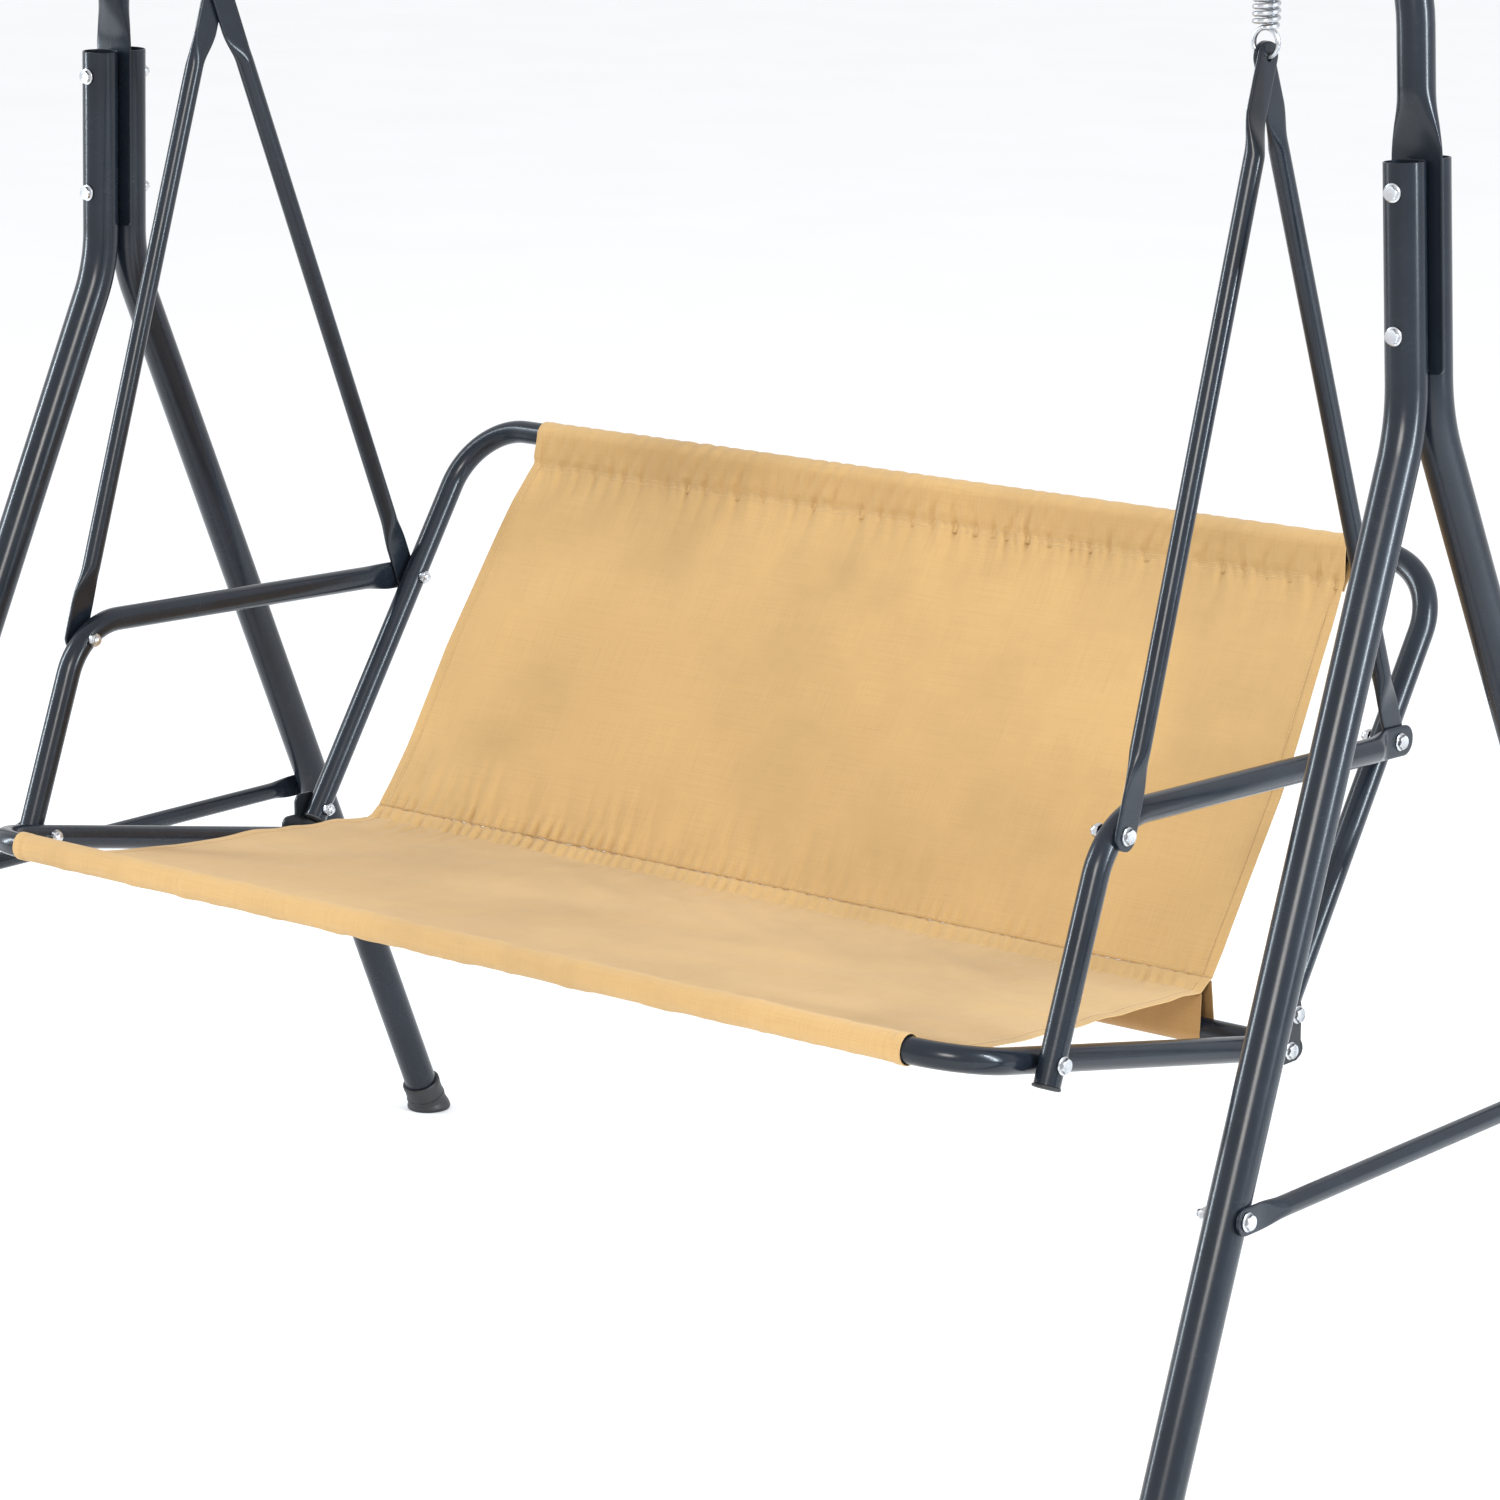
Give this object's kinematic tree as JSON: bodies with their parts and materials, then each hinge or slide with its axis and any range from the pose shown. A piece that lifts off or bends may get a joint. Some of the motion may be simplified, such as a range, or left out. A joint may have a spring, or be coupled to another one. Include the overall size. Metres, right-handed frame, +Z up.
{
  "type": "bench swing",
  "caption": "Bench swing: a fabric sling seat with armrests, hung by two springs and V hangers from the top bar of a tubular A-frame.",
  "frame": {"origin": "on the ground under the middle of the frame", "axes": "+Z up, -Y towards the front, +X to the sitter's left-hand side seen from the front (right in the front view)"},
  "size_m": [1.8134, 1.0818, 1.633],
  "materials": {
    "dark_steel": "gloss graphite powder coat",
    "zinc": "bright zinc plate",
    "spring_zinc": "zinc-plated spring wire",
    "black_plastic": "moulded, fine grain",
    "sling_fabric": "tan woven mesh, matte"
  },
  "bodies": {
    "frame": {"left_front_leg": "dark_steel", "right_front_leg": "dark_steel", "left_rear_leg": "dark_steel", "right_rear_leg": "dark_steel", "left_front_foot": "black_plastic", "right_front_foot": "black_plastic", "left_rear_foot": "black_plastic", "right_rear_foot": "black_plastic", "left_post": "dark_steel", "right_post": "dark_steel", "top_tube": "dark_steel", "leg_joint_bolts": "zinc", "leg_joint_nuts": "zinc", "top_bar_bolts": "zinc", "top_bar_nuts": "zinc", "left_stabiliser": "dark_steel", "right_stabiliser": "dark_steel", "stabiliser_bolts": "zinc", "stabiliser_nuts": "zinc", "eye_bolts": "zinc", "eye_bolt_nuts": "zinc"},
    "left_spring": {"left_spring_eye": "spring_zinc", "left_spring_coil": "spring_zinc"},
    "right_spring": {"right_spring_eye": "spring_zinc", "right_spring_coil": "spring_zinc"},
    "left_hook": {"left_spring_hook": "spring_zinc"},
    "right_hook": {"right_spring_hook": "spring_zinc"},
    "seat": {"left_front_rod": "dark_steel", "right_front_rod": "dark_steel", "left_rear_rod": "dark_steel", "right_rear_rod": "dark_steel", "seat_frame": "dark_steel", "back_frame": "dark_steel", "rear_cross_tube": "dark_steel", "left_armrest": "dark_steel", "right_armrest": "dark_steel", "left_hinge_plate": "dark_steel", "right_hinge_plate": "dark_steel", "armrest_plugs": "black_plastic", "seat_tube_plugs": "black_plastic", "back_tube_plugs": "black_plastic", "front_rod_bolts": "zinc", "rear_rod_bolts": "zinc", "armrest_bolts": "zinc", "hinge_bolts": "zinc", "hinge_screws": "zinc", "seat_nuts": "zinc", "seat_panel": "sling_fabric", "back_panel": "sling_fabric", "lower_sleeve": "sling_fabric"}
  },
  "joints": [
    {"name": "left_swing", "type": "hinge", "parent": "frame", "child": "left_spring", "pos_m": [-0.665, 0, 1.5628], "axis": [1, 0, 0], "range_deg": [-22, 22]},
    {"name": "left_stretch", "type": "slide", "parent": "left_spring", "child": "left_hook", "axis": [0, 0, -1], "range_m": [-0.005, 0.03], "stiffness_N_per_m": 6000, "springref_m": -0.0072, "deforming": ["left_spring_coil"]},
    {"name": "seat_pivot", "type": "hinge", "parent": "left_hook", "child": "seat", "pos_m": [-0.665, 0, 1.401], "axis": [1, 0, 0], "range_deg": [-12, 12]},
    {"name": "right_swing", "type": "hinge", "parent": "frame", "child": "right_spring", "pos_m": [0.665, 0, 1.5628], "axis": [1, 0, 0], "range_deg": [-22, 22]},
    {"name": "right_stretch", "type": "slide", "parent": "right_spring", "child": "right_hook", "axis": [0, 0, -1], "range_m": [-0.005, 0.03], "stiffness_N_per_m": 6000, "springref_m": -0.0072, "deforming": ["right_spring_coil"]}
  ],
  "couplings": [
    {"joint": "right_swing", "follows": "left_swing", "ratio": 1},
    {"joint": "right_stretch", "follows": "left_stretch", "ratio": 1}
  ]
}
